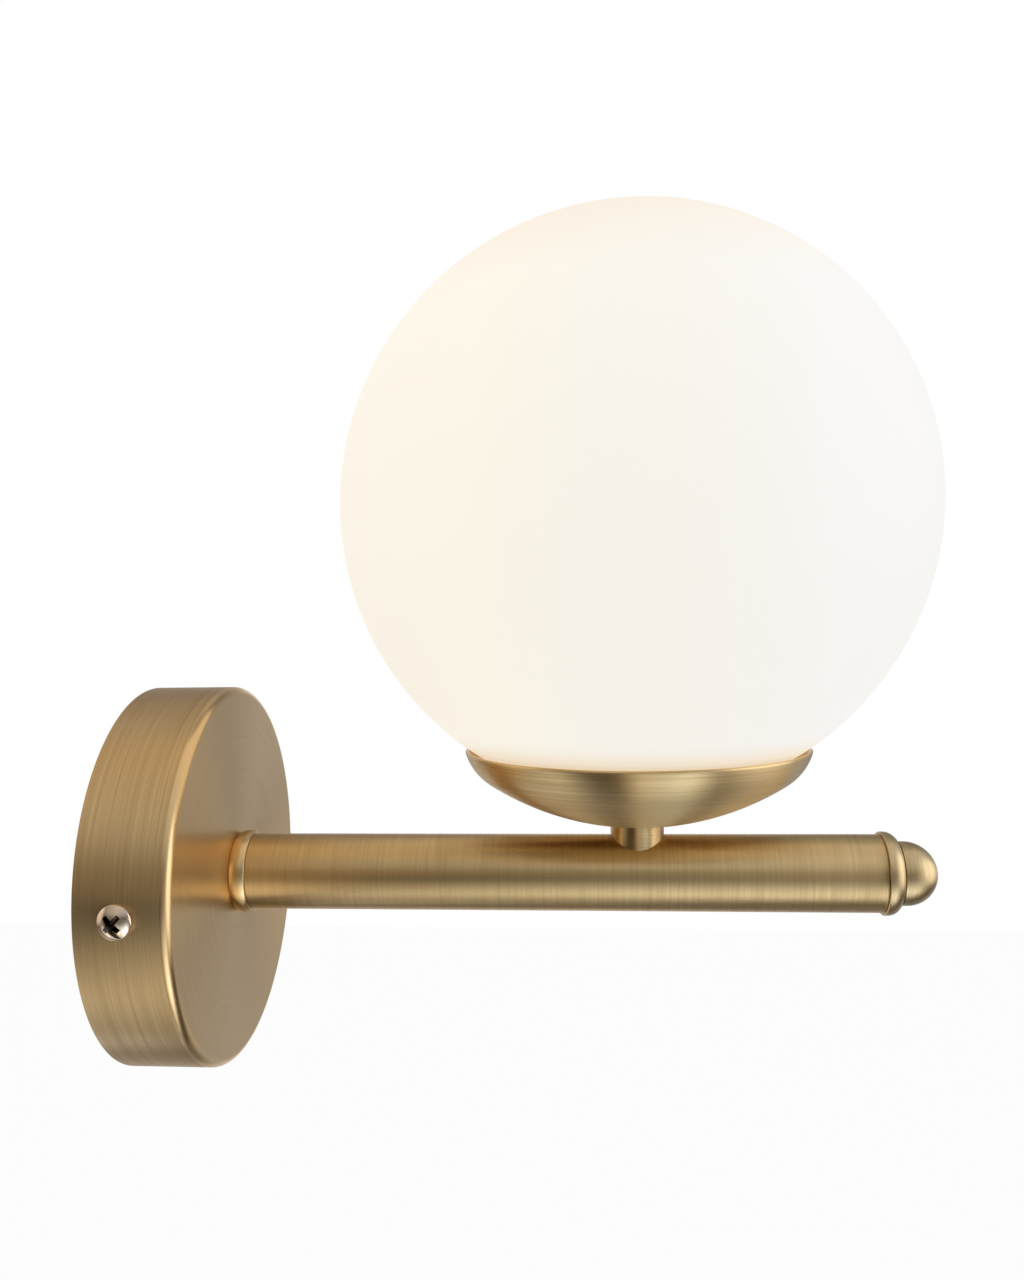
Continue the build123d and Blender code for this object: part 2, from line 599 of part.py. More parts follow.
def lamp_pins():
    """Two looped pins of bent wire."""
    loops = []
    half = PIN_LOOP / 2
    foot = HOLDER_TOP_Z - PIN_LENGTH
    corners = [(-half, 0, HOLDER_TOP_Z), (-half, 0, foot), (half, 0, foot), (half, 0, HOLDER_TOP_Z)]
    route = FilletPolyline(*corners, radius=half * 0.9)
    section = Plane(origin=route @ 0, z_dir=route % 0) * Circle(PIN_WIRE_R)
    for side in (-1, 1):
        loops.append(HEAD * Pos(0, side * PIN_PITCH / 2, 0) * sweep(section, path=route))
    return Compound(loops)


PIECES = [
    wall_bracket, wall_plate, side_screws, terminal_block, terminal_screws, block_screw, earth_tag,
    earth_screw, live_lead, neutral_lead, earth_lead, plate_nipple, plate_washer, plate_nut, collar_ring,
    arm_tube, arm_plug, end_plug, end_ring, finial, head_bush, head_nipple, saddle_spacer, cup, carrier,
    slip_washer, holder_strap, head_nut, lampholder, holder_screws, contacts, globe, globe_crown,
    lamp_bulb, lamp_base, lamp_pins,
]

os.makedirs("parts", exist_ok=True)
for piece in PIECES:
    export_step(piece(), f"parts/{piece.__name__}.step")
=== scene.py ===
import math

import bmesh
import bpy
from mathutils import Matrix, Vector


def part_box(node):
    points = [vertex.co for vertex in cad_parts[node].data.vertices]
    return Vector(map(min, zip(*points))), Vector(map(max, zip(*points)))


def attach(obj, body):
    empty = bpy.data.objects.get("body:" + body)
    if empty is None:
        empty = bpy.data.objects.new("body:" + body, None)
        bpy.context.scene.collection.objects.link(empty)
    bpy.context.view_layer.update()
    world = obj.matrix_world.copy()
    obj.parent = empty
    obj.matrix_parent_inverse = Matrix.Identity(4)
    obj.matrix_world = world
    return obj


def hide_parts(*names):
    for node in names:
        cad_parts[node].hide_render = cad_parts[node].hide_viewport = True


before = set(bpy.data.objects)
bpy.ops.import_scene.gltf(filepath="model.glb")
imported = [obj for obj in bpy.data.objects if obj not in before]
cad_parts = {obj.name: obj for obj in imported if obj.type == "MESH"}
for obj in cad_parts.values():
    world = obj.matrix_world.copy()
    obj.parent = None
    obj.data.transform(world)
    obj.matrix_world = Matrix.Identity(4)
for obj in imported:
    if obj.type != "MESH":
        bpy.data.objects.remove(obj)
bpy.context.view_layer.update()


# ---------------------------------------------------------------- wall bracket
# A strap pressed from 2 mm steel sheet, screwed flat to the wall behind the plate. Its two ears are bent out
# to take the side screws. Bright zinc plating gives it a cool grey with faint cloudy spangle.

def linear(code):
    """Turns an sRGB hex colour into linear red, green, blue and full alpha."""
    parts = [int(code[i:i + 2], 16) / 255 for i in (1, 3, 5)]
    return [p / 12.92 if p <= 0.04045 else ((p + 0.055) / 1.055) ** 2.4 for p in parts] + [1.0]


def new_finish(name):
    """Starts a material and gives it with its node tree and its shader."""
    finish = bpy.data.materials.new(name)
    finish.use_nodes = True
    return finish, finish.node_tree, finish.node_tree.nodes["Principled BSDF"]


def add(tree, kind, inputs=None, **settings):
    """Adds a node, sets it, and fills its inputs with values or with links from other nodes' outputs."""
    node = tree.nodes.new(kind)
    for name, value in settings.items():
        setattr(node, name, value)
    for name, value in (inputs or {}).items():
        if isinstance(value, bpy.types.NodeSocket):
            tree.links.new(value, node.inputs[name])
        else:
            node.inputs[name].default_value = value
    return node


def dress(finish, *names):
    """Gives solids that keep their own shape a finish."""
    for name in names:
        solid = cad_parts[name]
        solid.data.materials.clear()
        solid.data.materials.append(finish)


zinc_plate, tree, shader = new_finish("bright_zinc_plated_steel")
coords = add(tree, "ShaderNodeTexCoord")
# Spangle clouds about 4 mm across, and a fine grain of 0.3 mm from the rolled sheet.
spangle = add(tree, "ShaderNodeTexNoise", {"Vector": coords.outputs["Object"], "Scale": 1 / 0.004, "Detail": 3.0})
grain = add(tree, "ShaderNodeTexNoise", {"Vector": coords.outputs["Object"], "Scale": 1 / 0.000303, "Detail": 2.0})
tone = add(tree, "ShaderNodeMix", {"Factor": spangle.outputs["Fac"], "A": linear("#A9ABAD"), "B": linear("#C9CBCC")},
           data_type="RGBA")
gloss = add(tree, "ShaderNodeMapRange", {"Value": spangle.outputs["Fac"], "To Min": 0.28, "To Max": 0.44})
relief = add(tree, "ShaderNodeBump", {"Height": grain.outputs["Fac"], "Strength": 0.12, "Distance": 0.00005})
shader.inputs["Metallic"].default_value = 1.0
tree.links.new(tone.outputs["Result"], shader.inputs["Base Color"])
tree.links.new(gloss.outputs["Result"], shader.inputs["Roughness"])
tree.links.new(relief.outputs["Normal"], shader.inputs["Normal"])
dress(zinc_plate, "wall_bracket", "plate_washer", "plate_nut", "plate_nipple", "block_screw",
      "arm_plug", "end_plug", "head_bush", "head_nipple", "head_nut", "holder_strap", "holder_screws")


# ------------------------------------------------------- terminal block and earth
# A three-pole block moulded in natural polyamide, screwed to the bracket's lower tab, and a crimped earth tag
# on the upper tab. The clamp screws, the tag and its screw are plain turned and pressed brass.

natural_nylon, tree, shader = new_finish("moulded_natural_polyamide")
coords = add(tree, "ShaderNodeTexCoord")
# Slight cloudiness of the unfilled plastic, about 6 mm across, over a fine mould texture of 0.2 mm.
cloud = add(tree, "ShaderNodeTexNoise", {"Vector": coords.outputs["Object"], "Scale": 1 / 0.00625, "Detail": 2.0})
mould = add(tree, "ShaderNodeTexNoise", {"Vector": coords.outputs["Object"], "Scale": 1 / 0.0002, "Detail": 1.0})
tone = add(tree, "ShaderNodeMix", {"Factor": cloud.outputs["Fac"], "A": linear("#D9D4C6"), "B": linear("#E8E4D9")},
           data_type="RGBA")
relief = add(tree, "ShaderNodeBump", {"Height": mould.outputs["Fac"], "Strength": 0.1, "Distance": 0.00004})
shader.inputs["Roughness"].default_value = 0.45
tree.links.new(tone.outputs["Result"], shader.inputs["Base Color"])
tree.links.new(relief.outputs["Normal"], shader.inputs["Normal"])
dress(natural_nylon, "terminal_block")

plain_brass, tree, shader = new_finish("plain_turned_brass")
coords = add(tree, "ShaderNodeTexCoord")
# Uneven tarnish in patches about 2 mm across.
tarnish = add(tree, "ShaderNodeTexNoise", {"Vector": coords.outputs["Object"], "Scale": 1 / 0.002, "Detail": 3.0})
tone = add(tree, "ShaderNodeMix", {"Factor": tarnish.outputs["Fac"], "A": linear("#C9A24E"), "B": linear("#E3C478")},
           data_type="RGBA")
gloss = add(tree, "ShaderNodeMapRange", {"Value": tarnish.outputs["Fac"], "To Min": 0.36, "To Max": 0.24})
shader.inputs["Metallic"].default_value = 1.0
tree.links.new(tone.outputs["Result"], shader.inputs["Base Color"])
tree.links.new(gloss.outputs["Result"], shader.inputs["Roughness"])
dress(plain_brass, "terminal_screws", "earth_tag", "earth_screw", "contacts")


# ------------------------------------------------------------------------ leads
# Three single-core leads in soft silicone: brown and blue run from the lampholder through the arm to the
# terminal block, and a short green and yellow one joins the block to the earth tag.

for name, dark, light in (("live_lead", "#4A2A17", "#5E3820"), ("neutral_lead", "#1D3F86", "#2A539F")):
    silicone_cover, tree, shader = new_finish("silicone_insulation_" + name.split("_")[0])
    coords = add(tree, "ShaderNodeTexCoord")
    # Handling marks and dust on the soft skin, in patches about 2.9 mm long.
    marks = add(tree, "ShaderNodeTexNoise", {"Vector": coords.outputs["Object"], "Scale": 1 / 0.00286, "Detail": 3.0})
    tone = add(tree, "ShaderNodeMix", {"Factor": marks.outputs["Fac"], "A": linear(dark), "B": linear(light)},
               data_type="RGBA")
    shader.inputs["Roughness"].default_value = 0.5
    tree.links.new(tone.outputs["Result"], shader.inputs["Base Color"])
    dress(silicone_cover, name)

earth_cover, tree, shader = new_finish("silicone_insulation_green_yellow")
coords = add(tree, "ShaderNodeTexCoord")
# Green and yellow bands that come again every 3.5 mm across the lamp, so that the lead shows both colours.
# At a scale of 1 the bands of a wave come again every tenth of pi.
wave_step = math.pi / 10
stripes = add(tree, "ShaderNodeTexWave", {"Vector": coords.outputs["Object"], "Scale": wave_step / 0.00349,
                                          "Distortion": 0.4}, bands_direction="X")
edges = add(tree, "ShaderNodeMapRange", {"Value": stripes.outputs["Fac"], "From Min": 0.45, "From Max": 0.55})
tone = add(tree, "ShaderNodeMix", {"Factor": edges.outputs["Result"], "A": linear("#3E7A34"), "B": linear("#D8C13A")},
           data_type="RGBA")
shader.inputs["Roughness"].default_value = 0.5
tree.links.new(tone.outputs["Result"], shader.inputs["Base Color"])
dress(earth_cover, "earth_lead")


# ------------------------------------------------------------------- wall plate
# The canopy: a shallow round cup spun from 1.2 mm brass sheet, open to the wall, brushed in circles on a
# lathe, antiqued and lacquered. A hollow rod through its middle clamps it to the arm.

def outline(points, closed=True):
    """Starts a mesh as a line through a few points, in metres, closed into a loop or left open."""
    bm = bmesh.new()
    corners = [bm.verts.new(p) for p in points]
    for a, b in zip(corners, corners[1:] + corners[:1] if closed else corners[1:]):
        bm.edges.new((a, b))
    return bm, corners


def round_off(bm, corners, size, steps=8):
    """Rounds corners of an outline: size is how far the curve starts from the corner."""
    bmesh.ops.bevel(bm, geom=corners, offset=size, offset_type="OFFSET", affect="VERTICES", segments=steps,
                    profile=0.5, material=-1)


def piece(name, bm, finish, body="base", sharp=30.0):
    """Turns a mesh into a smooth-shaded object with its finish that moves with a body."""
    bmesh.ops.remove_doubles(bm, verts=bm.verts[:], dist=0.000001)
    bmesh.ops.recalc_face_normals(bm, faces=bm.faces[:])
    mesh = bpy.data.meshes.new(name)
    bm.to_mesh(mesh)
    bm.free()
    mesh.shade_smooth()
    mesh.set_sharp_from_angle(angle=math.radians(sharp))
    mesh.materials.append(finish)
    made = bpy.data.objects.new(name, mesh)
    bpy.context.scene.collection.objects.link(made)
    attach(made, body)
    return made


def spin(bm, centre, axis, steps=192):
    """Turns an outline right round an axis."""
    bmesh.ops.spin(bm, geom=bm.verts[:] + bm.edges[:], cent=centre, axis=axis, angle=2 * math.pi, steps=steps,
                   use_merge=True)


def antique_brass(name, axis, line, streak, axis_y=0.0, dull=0.46, bright=0.38, lay_share=0.92, depth=0.08,
                  rub=0.6, tones=("#C4A46F", "#E6C791")):
    """Brushed, antiqued and lacquered brass. The brush goes round an axis, Y along the arm or Z up through the
    head at axis_y. line is the spacing of its marks, and streak is how far round one mark runs, in radians.
    dull and bright are the roughness in and between the marks, lay_share is how strongly they draw reflections
    out, and depth is how deep they are. tones are the colours where the antiquing stayed and where it was
    rubbed off, and a smaller rub sets neighbouring marks further apart in colour."""
    finish, tree, shader = new_finish(name)
    coords = add(tree, "ShaderNodeTexCoord")
    upright = (math.pi / 2, 0, 0) if axis == "Y" else (0, 0, 0)
    centred = add(tree, "ShaderNodeMapping", {"Vector": coords.outputs["Object"], "Location": (0, -axis_y, 0),
                                              "Rotation": upright})
    height = add(tree, "ShaderNodeSeparateXYZ", {"Vector": centred.outputs["Vector"]})
    across = add(tree, "ShaderNodeVectorMath", {0: centred.outputs["Vector"], 1: (1, 1, 0)}, operation="MULTIPLY")
    radius = add(tree, "ShaderNodeVectorMath", {0: across.outputs["Vector"]}, operation="LENGTH")
    around = add(tree, "ShaderNodeVectorMath", {0: across.outputs["Vector"]}, operation="NORMALIZE")
    along = add(tree, "ShaderNodeMath", {0: radius.outputs["Value"], 1: height.outputs["Z"]}, operation="ADD")
    steps = add(tree, "ShaderNodeMath", {0: along.outputs["Value"], 1: 1 / line}, operation="MULTIPLY")
    level = add(tree, "ShaderNodeCombineXYZ", {"Z": steps.outputs["Value"]})
    marks = add(tree, "ShaderNodeVectorMath", {0: around.outputs["Vector"], 1: (1 / streak, 1 / streak, 0),
                                               2: level.outputs["Vector"]}, operation="MULTIPLY_ADD")
    # Real brush marks are about 0.1 mm apart, too fine to show, so they are drawn 0.4 or 0.5 mm apart.
    brush = add(tree, "ShaderNodeTexNoise", {"Vector": marks.outputs["Vector"], "Scale": 1.0, "Detail": 4.0,
                                             "Roughness": 0.65})
    # Broader bands where the antiquing was rubbed back more or less, about six brush marks wide.
    rubbed = add(tree, "ShaderNodeTexNoise", {"Vector": marks.outputs["Vector"], "Scale": 1 / 6.25, "Detail": 2.0})
    brush_share = 4.0
    wear = add(tree, "ShaderNodeMath", {0: brush.outputs["Fac"], 1: brush_share, 2: rubbed.outputs["Fac"]},
               operation="MULTIPLY_ADD")
    half_worn, spread = (brush_share + 1) / 2, brush_share / 2 * rub
    shade = add(tree, "ShaderNodeMapRange", {"Value": wear.outputs["Value"], "From Min": half_worn - spread,
                                             "From Max": half_worn + spread})
    tone = add(tree, "ShaderNodeMix", {"Factor": shade.outputs["Result"], "A": linear(tones[0]),
                                       "B": linear(tones[1])}, data_type="RGBA")
    gloss = add(tree, "ShaderNodeMapRange", {"Value": brush.outputs["Fac"], "From Min": 0.3, "From Max": 0.7,
                                             "To Min": dull, "To Max": bright})
    relief = add(tree, "ShaderNodeBump", {"Height": brush.outputs["Fac"], "Strength": depth, "Distance": 0.00005})
    # A quarter turn from the lay of the marks draws reflections out across them. A thin satin lacquer covers all.
    lay = add(tree, "ShaderNodeTangent", direction_type="RADIAL", axis=axis)
    shader.inputs["Metallic"].default_value = 1.0
    shader.inputs["Anisotropic"].default_value = lay_share
    shader.inputs["Anisotropic Rotation"].default_value = 0.25
    shader.inputs["Coat Weight"].default_value = 0.2
    shader.inputs["Coat Roughness"].default_value = 0.3
    tree.links.new(tone.outputs["Result"], shader.inputs["Base Color"])
    tree.links.new(gloss.outputs["Result"], shader.inputs["Roughness"])
    tree.links.new(relief.outputs["Normal"], shader.inputs["Normal"])
    tree.links.new(lay.outputs["Tangent"], shader.inputs["Tangent"])
    return finish


low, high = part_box("wall_plate")
plate_r = high.x
plate_y = low.y
sheet = 0.0012
hole_r = 0.0051
front_round, inside_round, broken_edge = 0.0021, 0.0008, 0.0003
bm, rim = outline([(plate_r, 0, 0), (plate_r, plate_y, 0), (hole_r, plate_y, 0), (hole_r, plate_y + sheet, 0),
                   (plate_r - sheet, plate_y + sheet, 0), (plate_r - sheet, 0, 0)])
round_off(bm, [rim[1]], front_round, 12)
round_off(bm, [rim[4]], inside_round, 6)
round_off(bm, [rim[0], rim[5]], broken_edge, 3)
spin(bm, (0, 0, 0), (0, 1, 0), 256)
plate_brass = antique_brass("antique_brass_spun_plate", "Y", line=0.0005, streak=1.2, depth=0.17,
                            tones=("#BE9B67", "#DFBD87"))
plate = piece("wall_plate_spun", bm, plate_brass)
# The front and its rounded edge were finished with a finer belt, so they are paler and mirror the arm.
plate_front = antique_brass("antique_brass_fine_brushed_front", "Y", line=0.0005, streak=1.2, dull=0.31, bright=0.27,
                            lay_share=0.8, depth=0.015, rub=1.5, tones=("#CDA771", "#F0CB93"))
plate.data.materials.append(plate_front)
belt_reach, belt_tilt = 0.002, -0.02
for facet in plate.data.polygons:
    facet.material_index = int(facet.center.y < plate_y + belt_reach and facet.normal.y < belt_tilt)
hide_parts("wall_plate")


# ------------------------------------------------------------------ side screws
# Two M4 pan-head screws through the plate's side into the bracket's ears. They are steel, nickel plated and
# barrel polished, so the domed head mirrors the room, and shade is painted dark into its cross recess.

nickel, tree, shader = new_finish("polished_nickel_plate")
coords = add(tree, "ShaderNodeTexCoord")
# Faint tumbling marks about 0.4 mm across dull the mirror here and there.
tumble = add(tree, "ShaderNodeTexNoise", {"Vector": coords.outputs["Object"], "Scale": 1 / 0.0004, "Detail": 2.0})
gloss = add(tree, "ShaderNodeMapRange", {"Value": tumble.outputs["Fac"], "From Min": 0.4, "From Max": 0.7,
                                         "To Min": 0.08, "To Max": 0.2})
tone = add(tree, "ShaderNodeMix", {"Factor": tumble.outputs["Fac"], "A": linear("#C6AD90"), "B": linear("#D6C1A9")},
           data_type="RGBA")
shader.inputs["Metallic"].default_value = 1.0
tree.links.new(tone.outputs["Result"], shader.inputs["Base Color"])
tree.links.new(gloss.outputs["Result"], shader.inputs["Roughness"])

painted_shade_recess, tree, shader = new_finish("nickel_recess_painted_shade")
coords = add(tree, "ShaderNodeTexCoord")
# Shade in the recess is painted as a dark colour, mottled in patches about 0.5 mm across, with a few glints.
recess_mottle = add(tree, "ShaderNodeTexNoise", {"Vector": coords.outputs["Object"], "Scale": 1 / 0.0005, "Detail": 2.0})
tone = add(tree, "ShaderNodeMix", {"Factor": recess_mottle.outputs["Fac"], "A": linear("#38332D"), "B": linear("#857A6C")},
           data_type="RGBA")
shader.inputs["Metallic"].default_value = 1.0
shader.inputs["Roughness"].default_value = 0.22
tree.links.new(tone.outputs["Result"], shader.inputs["Base Color"])


def arc(bm, start, centre, axis, degrees, steps):
    """Draws an arc on from a vertex of an outline and gives the vertex at its end."""
    swept = bmesh.ops.spin(bm, geom=[start], cent=centre, axis=axis, angle=math.radians(degrees), steps=steps)
    return [v for v in swept["geom_last"] if isinstance(v, bmesh.types.BMVert)][0]


def cut(bm, cutter):
    """Cuts one mesh out of another and gives the result."""
    parts = []
    for mesh_data in (bm, cutter):
        mesh = bpy.data.meshes.new("cut")
        mesh_data.to_mesh(mesh)
        mesh_data.free()
        part = bpy.data.objects.new("cut", mesh)
        bpy.context.scene.collection.objects.link(part)
        parts.append(part)
    knife = parts[0].modifiers.new("knife", "BOOLEAN")
    knife.object = parts[1]
    knife.operation = "DIFFERENCE"
    knife.solver = "EXACT"
    graph = bpy.context.evaluated_depsgraph_get()
    result = bmesh.new()
    result.from_mesh(parts[0].evaluated_get(graph).data)
    for part in parts:
        mesh = part.data
        bpy.data.objects.remove(part)
        bpy.data.meshes.remove(mesh)
    return result


low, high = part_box("side_screws")
head_r = (high.y - low.y) / 2
screw_y = (high.y + low.y) / 2
head_top = high.x
head_seat = plate_r
shank_r, shank_length = 0.002, 0.008
shank_end = head_seat - shank_length
tip_length, tip_drop = 0.0004, 0.0005
wall_h, head_edge = 0.0009, 0.0002
dome_h = head_top - head_seat - wall_h
dome_r = (head_r ** 2 + dome_h ** 2) / (2 * dome_h)
sweep = math.degrees(math.asin(head_r / dome_r))
# The recess: two crossed wings 1.3 mm wide, about 5 mm long where they meet the dome, that narrow below.
wing_size, wing_taper, wing_sink = (0.0026, 0.0058, 0.0013), (1, 0.35, 0.6), 0.0011
recess_r, recess_floor, dome_skin = 0.0033, head_seat + 0.0002, 0.00006
for side, label in ((1, "right"), (-1, "left")):
    bm, points = outline([(head_top, screw_y, 0)], closed=False)
    edge = arc(bm, points[0], (head_top - dome_r, screw_y, 0), (0, 0, 1), sweep, 14)
    seat = bm.verts.new((head_seat, screw_y + head_r, 0))
    neck = bm.verts.new((head_seat, screw_y + shank_r, 0))
    tip_edge = bm.verts.new((shank_end + tip_length, screw_y + shank_r, 0))
    tip = bm.verts.new((shank_end, screw_y + shank_r - tip_drop, 0))
    end = bm.verts.new((shank_end, screw_y, 0))
    for a, b in ((edge, seat), (seat, neck), (neck, tip_edge), (tip_edge, tip), (tip, end)):
        bm.edges.new((a, b))
    round_off(bm, [edge], head_edge, 3)
    spin(bm, (0, screw_y, 0), (1, 0, 0), 64)
    bmesh.ops.remove_doubles(bm, verts=bm.verts[:], dist=0.000001)
    bmesh.ops.recalc_face_normals(bm, faces=bm.faces[:])
    for quarter in (45, 135):
        wing = bmesh.new()
        bmesh.ops.create_cube(wing, size=1.0)
        bmesh.ops.scale(wing, vec=wing_size, verts=wing.verts[:])
        inner = [v for v in wing.verts if v.co.x < 0]
        bmesh.ops.scale(wing, vec=wing_taper, verts=inner)
        bmesh.ops.rotate(wing, cent=(0, 0, 0), matrix=Matrix.Rotation(math.radians(quarter), 3, "X"),
                         verts=wing.verts[:])
        bmesh.ops.translate(wing, vec=(head_top - wing_sink, screw_y, 0), verts=wing.verts[:])
        bm = cut(bm, wing)
    bmesh.ops.scale(bm, vec=(side, 1, 1), verts=bm.verts[:])
    if side < 0:
        bmesh.ops.reverse_faces(bm, faces=bm.faces[:])
    screw = piece("side_screw_" + label, bm, nickel, sharp=25.0)
    screw.data.materials.append(painted_shade_recess)
    # The faces below the dome and inside the recess get the painted shade.
    dome_middle = Vector((side * (head_top - dome_r), screw_y, 0))
    for facet in screw.data.polygons:
        sunk = dome_r - (facet.center - dome_middle).length
        from_axis = math.hypot(facet.center.y - screw_y, facet.center.z)
        facet.material_index = int(sunk > dome_skin and from_axis < recess_r and abs(facet.center.x) > recess_floor)
    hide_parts("side_screws")


# ------------------------------------------------------------------ collar ring
# A turned brass bead between the plate and the arm, crowned on its outside and flat on both ends. It is
# polished more than the tube, antiqued and lacquered like it, and clamped by the hollow rod inside.

low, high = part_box("collar_ring")
collar_from, collar_to = high.y, low.y
foot_r, face_r, crown_top = 0.0102, 0.0104, 0.0109
bead_edge = 0.00012
middle = (collar_from + collar_to) / 2
# The crown is an arc through its two edges and its top.
half = (collar_from - collar_to) / 2
bulge = crown_top - (foot_r + face_r) / 2
chord = math.hypot(half, (face_r - foot_r) / 2)
crown_r = (chord ** 2 + bulge ** 2) / (2 * bulge)
slope = math.atan2(face_r - foot_r, 2 * half)
hub = ((foot_r + face_r) / 2 + (bulge - crown_r) * math.cos(slope),
       middle - (crown_r - bulge) * math.sin(slope), 0)
bm, points = outline([(foot_r, collar_from, 0)], closed=False)
last = arc(bm, points[0], hub, (0, 0, 1), -2 * math.degrees(math.asin(chord / crown_r)), 16)
far = [bm.verts.new(p) for p in ((hole_r, collar_to, 0), (hole_r, collar_from, 0))]
for a, b in zip([last] + far, far + [points[0]]):
    bm.edges.new((a, b))
round_off(bm, [points[0], last], bead_edge, 3)
spin(bm, (0, 0, 0), (0, 1, 0))
collar_brass = antique_brass("antique_brass_turned_collar", "Y", line=0.0004, streak=0.8, dull=0.34, bright=0.29,
                             lay_share=0.5, depth=0.03)
collar = piece("collar_bead", bm, collar_brass)
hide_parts("collar_ring")


# --------------------------------------------------------------------- arm tube
# A length of 20 mm drawn brass tube with its ends faced square and the edges just broken. It is brushed
# around, so it carries fine upright lines and long level reflections.

low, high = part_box("arm_tube")
arm_r = high.x
arm_from, arm_to = high.y, low.y
tube_wall, end_edge = 0.001, 0.00025
bore_r = arm_r - tube_wall
bm, ends = outline([(arm_r, arm_from, 0), (arm_r, arm_to, 0), (bore_r, arm_to, 0), (bore_r, arm_from, 0)])
round_off(bm, ends[:2], end_edge, 3)
spin(bm, (0, 0, 0), (0, 1, 0), 224)
tube_brass = antique_brass("antique_brass_brushed_tube", "Y", line=0.0005, streak=2.2, depth=0.11, rub=1.0,
                           tones=("#BF9F6B", "#E1C28B"))
arm = piece("arm_tube_brushed", bm, tube_brass)
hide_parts("arm_tube")


# -------------------------------------------------------------- end ring and finial
# The arm's free end: a turned ring, flat towards the tube and rounded off outwards, then a domed finial whose
# stud screws into the plug in the tube and clamps the ring. Both are turned brass with the same soft satin.

end_brass = antique_brass("antique_brass_satin_end", "Y", line=0.0004, streak=0.6, dull=0.43, bright=0.37,
                          lay_share=0.6, depth=0.03, tones=("#B79B6B", "#D7BC8C"))

low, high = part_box("end_ring")
ring_r = high.x
ring_from, ring_to = high.y, low.y
stud_r = 0.0031
lip, nose_r, ring_edge = 0.0009, 0.0083, 0.00015
drop = ring_r - nose_r
reach = ring_from - lip - ring_to
round_r = (drop ** 2 + reach ** 2) / (2 * drop)
bend = math.degrees(math.asin(min(1.0, reach / round_r)))
bm, points = outline([(ring_r, ring_from - lip, 0)], closed=False)
nose = arc(bm, points[0], (ring_r - round_r, ring_from - lip, 0), (0, 0, 1), -bend, 14)
rest = [bm.verts.new(p) for p in ((stud_r, ring_to, 0), (stud_r, ring_from, 0), (ring_r - ring_edge, ring_from, 0),
                                  (ring_r, ring_from - ring_edge, 0))]
for a, b in zip([nose] + rest, rest + [points[0]]):
    bm.edges.new((a, b))
spin(bm, (0, 0, 0), (0, 1, 0))
end_ring = piece("end_ring_turned", bm, end_brass)
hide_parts("end_ring")

low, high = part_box("finial")
dome_r = high.x
dome_y = low.y + dome_r
groove, groove_depth, stud_play = 0.0003, 0.0007, 0.0001
bm, points = outline([(dome_r, dome_y, 0)], closed=False)
tip = arc(bm, points[0], (0, dome_y, 0), (0, 0, 1), -90, 40)
stud = [bm.verts.new(p) for p in ((0, high.y, 0), (stud_r - stud_play, high.y, 0), (stud_r - stud_play, ring_to, 0),
                                  (dome_r - groove_depth, ring_to, 0),
                                  (dome_r - groove_depth, ring_to - groove, 0), (dome_r, ring_to - groove, 0))]
for a, b in zip([tip] + stud, stud + [points[0]]):
    bm.edges.new((a, b))
spin(bm, (0, 0, 0), (0, 1, 0))
finial = piece("finial_dome", bm, end_brass)
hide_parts("finial")


# ---------------------------------------------------------------- saddle spacer
# A short turned brass stem, its foot milled to the tube's curve so that it sits on the arm without a gap.
# The hollow rod of the head passes through it.

low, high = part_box("saddle_spacer")
head_y = (low.y + high.y) / 2
stem_r = high.x
# The stem is a little taller than its solid, because the cup stands higher in the photograph.
stem_lift, stem_foot, cutter_length = 0.00087, 0.004, 0.05
stem_top = high.z + stem_lift
bm, points = outline([(hole_r, head_y, stem_foot), (stem_r, head_y, stem_foot), (stem_r, head_y, stem_top),
                      (hole_r, head_y, stem_top)])
spin(bm, (0, head_y, 0), (0, 0, 1), 96)
bmesh.ops.recalc_face_normals(bm, faces=bm.faces[:])
saddle = bmesh.new()
bmesh.ops.create_cone(saddle, cap_ends=True, segments=256, radius1=arm_r, radius2=arm_r, depth=cutter_length,
                      matrix=Matrix.Translation((0, head_y, 0)) @ Matrix.Rotation(math.pi / 2, 4, "X"))
bm = cut(bm, saddle)
stem_brass = antique_brass("antique_brass_turned_stem", "Z", line=0.0004, streak=0.8, axis_y=head_y)
stem = piece("saddle_stem", bm, stem_brass)
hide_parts("saddle_spacer")


# -------------------------------------------------------------------------- cup
# A shallow bowl spun from 1 mm brass sheet: a flat seat on the stem, a wide base curve and a tighter curve up
# to a slightly flared rim with a rounded lip. It is brushed around, antiqued and lacquered.

low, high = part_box("cup")
cup_wall = 0.001
# The rim is a little wider and lower than its solid's, as it is in the photograph.
rim_out, rim_drop = 0.0002, 0.00096
cup_r = high.x + rim_out
rim_z = high.z - rim_drop
base_r = 0.0708
corner_r = 0.0141
flare = math.radians(16.8)
corner_x = cup_r - corner_r * math.cos(flare)
corner_z = rim_z + corner_r * math.sin(flare)
base_z = corner_z + math.sqrt((base_r - corner_r) ** 2 - corner_x ** 2)
lean = math.degrees(math.atan2(corner_x, base_z - corner_z))
bm = bmesh.new()
sides = []
for inset in (0.0, cup_wall):
    start_z = stem_top + inset
    start_r = math.sqrt((base_r - inset) ** 2 - (base_z - start_z) ** 2)
    from_pole = math.degrees(math.asin(start_r / (base_r - inset)))
    seat = bm.verts.new((start_r, head_y, start_z))
    join = arc(bm, seat, (0, head_y, base_z), (0, -1, 0), lean - from_pole, 24)
    top = arc(bm, join, (corner_x, head_y, corner_z), (0, -1, 0), 90 - lean - math.degrees(flare), 24)
    sides.append((seat, top))
(outer_seat, outer_top), (inner_seat, inner_top) = sides
lip_end = arc(bm, outer_top, (outer_top.co + inner_top.co) / 2, (0, -1, 0), 180, 8)
floor = [bm.verts.new((hole_r, head_y, z)) for z in (stem_top + cup_wall, stem_top)]
